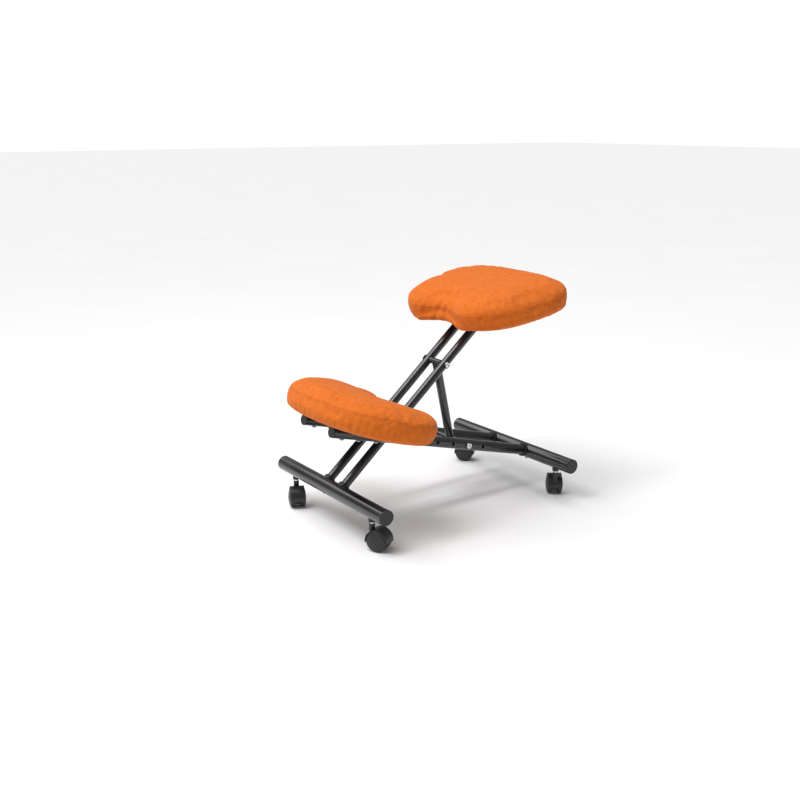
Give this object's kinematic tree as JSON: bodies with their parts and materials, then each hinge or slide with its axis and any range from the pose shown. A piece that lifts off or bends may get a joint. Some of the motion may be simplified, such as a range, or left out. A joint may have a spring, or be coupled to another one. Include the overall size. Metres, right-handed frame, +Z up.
{
  "type": "kneeling massage chair",
  "caption": "Kneeling chair with a padded seat and knee pad on a crossed tube frame that adjusts by a brace, rolling on swivel casters.",
  "frame": {"origin": "on the floor, under the middle of the chair", "axes": "+X to the right as seen from the front (the sitter's left hand), +Y to the back (under the seat), +Z up; the sitter faces -Y"},
  "size_m": [0.464, 0.6926, 0.5747],
  "materials": {
    "black_paint": "satin powder coat",
    "black_plastic": "fine texture",
    "caster_nylon": "fine texture",
    "wheel_nylon": "smooth",
    "chrome": "polished",
    "steel": "zinc plated",
    "cover_fabric": "stretch weave",
    "foam": "open cell foam",
    "plywood": "raw plywood",
    "dust_cloth": "spunbond sheet"
  },
  "bodies": {
    "rail_frame": {"rear_bar": "black_paint", "rear_bar_caps": "black_plastic", "rail_left": "black_paint", "rail_right": "black_paint", "rail_saddles": "black_plastic", "rail_slugs": "steel", "rear_lock_screws": "steel", "rail_end_plugs": "black_plastic", "pivot_bolt": "chrome", "pivot_nut": "chrome", "pivot_spacers": "black_plastic", "rail_washers": "black_plastic", "adjusting_bolts": "chrome", "knee_cover": "cover_fabric", "knee_foam": "foam", "knee_board": "plywood", "knee_dust_sheet": "dust_cloth", "knee_tee_nuts": "steel", "knee_screws": "steel", "rear_caster_sockets": "black_plastic", "rear_caster_stems": "chrome"},
    "seat_frame": {"front_bar": "black_paint", "front_bar_caps": "black_plastic", "upright_left": "black_paint", "upright_right": "black_paint", "upright_saddles": "black_plastic", "upright_slugs": "steel", "front_lock_screws": "steel", "pivot_sleeve": "steel", "brace_bolt": "chrome", "brace_nut": "chrome", "brace_washers": "black_plastic", "seat_plate": "black_paint", "seat_cover": "cover_fabric", "seat_foam": "foam", "seat_board": "plywood", "seat_dust_sheet": "dust_cloth", "seat_tee_nuts": "steel", "seat_screws": "steel", "front_caster_sockets": "black_plastic", "front_caster_stems": "chrome"},
    "brace": {"brace_tube": "black_paint", "brace_sleeves": "black_paint"},
    "caster_front_right": {"caster_front_right_hood": "caster_nylon", "caster_front_right_axle": "steel"},
    "caster_front_right_wheel_a": {"caster_front_right_wheel_a": "wheel_nylon"},
    "caster_front_right_wheel_b": {"caster_front_right_wheel_b": "wheel_nylon"},
    "caster_front_left": {"caster_front_left_hood": "caster_nylon", "caster_front_left_axle": "steel"},
    "caster_front_left_wheel_a": {"caster_front_left_wheel_a": "wheel_nylon"},
    "caster_front_left_wheel_b": {"caster_front_left_wheel_b": "wheel_nylon"},
    "caster_rear_right": {"caster_rear_right_hood": "caster_nylon", "caster_rear_right_axle": "steel"},
    "caster_rear_right_wheel_a": {"caster_rear_right_wheel_a": "wheel_nylon"},
    "caster_rear_right_wheel_b": {"caster_rear_right_wheel_b": "wheel_nylon"},
    "caster_rear_left": {"caster_rear_left_hood": "caster_nylon", "caster_rear_left_axle": "steel"},
    "caster_rear_left_wheel_a": {"caster_rear_left_wheel_a": "wheel_nylon"},
    "caster_rear_left_wheel_b": {"caster_rear_left_wheel_b": "wheel_nylon"}
  },
  "joints": [
    {"name": "frame_pivot", "type": "hinge", "parent": "rail_frame", "child": "seat_frame", "pos_m": [0, -0.14201, 0.21271], "axis": [1, 0, 0], "range_deg": [-7.09, 10.91]},
    {"name": "brace_pivot", "type": "hinge", "parent": "seat_frame", "child": "brace", "pos_m": [0, 0.03533, 0.36417], "axis": [1, 0, 0], "range_deg": [-28.08, 18.25]},
    {"name": "front_right_swivel", "type": "hinge", "parent": "seat_frame", "child": "caster_front_right", "pos_m": [0.172, -0.281, 0.062], "axis": [0, 0, 1], "continuous": true},
    {"name": "front_right_wheel_a_spin", "type": "hinge", "parent": "caster_front_right", "child": "caster_front_right_wheel_a", "pos_m": [0.18789, -0.27255, 0.025], "axis": [-0.4695, 0.8829, 0], "continuous": true},
    {"name": "front_right_wheel_b_spin", "type": "hinge", "parent": "caster_front_right", "child": "caster_front_right_wheel_b", "pos_m": [0.18789, -0.27255, 0.025], "axis": [-0.4695, 0.8829, 0], "continuous": true},
    {"name": "front_left_swivel", "type": "hinge", "parent": "seat_frame", "child": "caster_front_left", "pos_m": [-0.172, -0.281, 0.062], "axis": [0, 0, 1], "continuous": true},
    {"name": "front_left_wheel_a_spin", "type": "hinge", "parent": "caster_front_left", "child": "caster_front_left_wheel_a", "pos_m": [-0.15569, -0.28861, 0.025], "axis": [0.4226, 0.9063, 0], "continuous": true},
    {"name": "front_left_wheel_b_spin", "type": "hinge", "parent": "caster_front_left", "child": "caster_front_left_wheel_b", "pos_m": [-0.15569, -0.28861, 0.025], "axis": [0.4226, 0.9063, 0], "continuous": true},
    {"name": "rear_right_swivel", "type": "hinge", "parent": "rail_frame", "child": "caster_rear_right", "pos_m": [0.172, 0.301, 0.062], "axis": [0, 0, 1], "continuous": true},
    {"name": "rear_right_wheel_a_spin", "type": "hinge", "parent": "caster_rear_right", "child": "caster_rear_right_wheel_a", "pos_m": [0.15782, 0.31208, 0.025], "axis": [-0.6157, -0.788, 0], "continuous": true},
    {"name": "rear_right_wheel_b_spin", "type": "hinge", "parent": "caster_rear_right", "child": "caster_rear_right_wheel_b", "pos_m": [0.15782, 0.31208, 0.025], "axis": [-0.6157, -0.788, 0], "continuous": true},
    {"name": "rear_left_swivel", "type": "hinge", "parent": "rail_frame", "child": "caster_rear_left", "pos_m": [-0.172, 0.301, 0.062], "axis": [0, 0, 1], "continuous": true},
    {"name": "rear_left_wheel_a_spin", "type": "hinge", "parent": "caster_rear_left", "child": "caster_rear_left_wheel_a", "pos_m": [-0.18538, 0.28896, 0.025], "axis": [0.6691, -0.7431, 0], "continuous": true},
    {"name": "rear_left_wheel_b_spin", "type": "hinge", "parent": "caster_rear_left", "child": "caster_rear_left_wheel_b", "pos_m": [-0.18538, 0.28896, 0.025], "axis": [0.6691, -0.7431, 0], "continuous": true}
  ],
  "couplings": [
    {"joint": "brace_pivot", "follows": "frame_pivot", "ratio": -2.499}
  ]
}
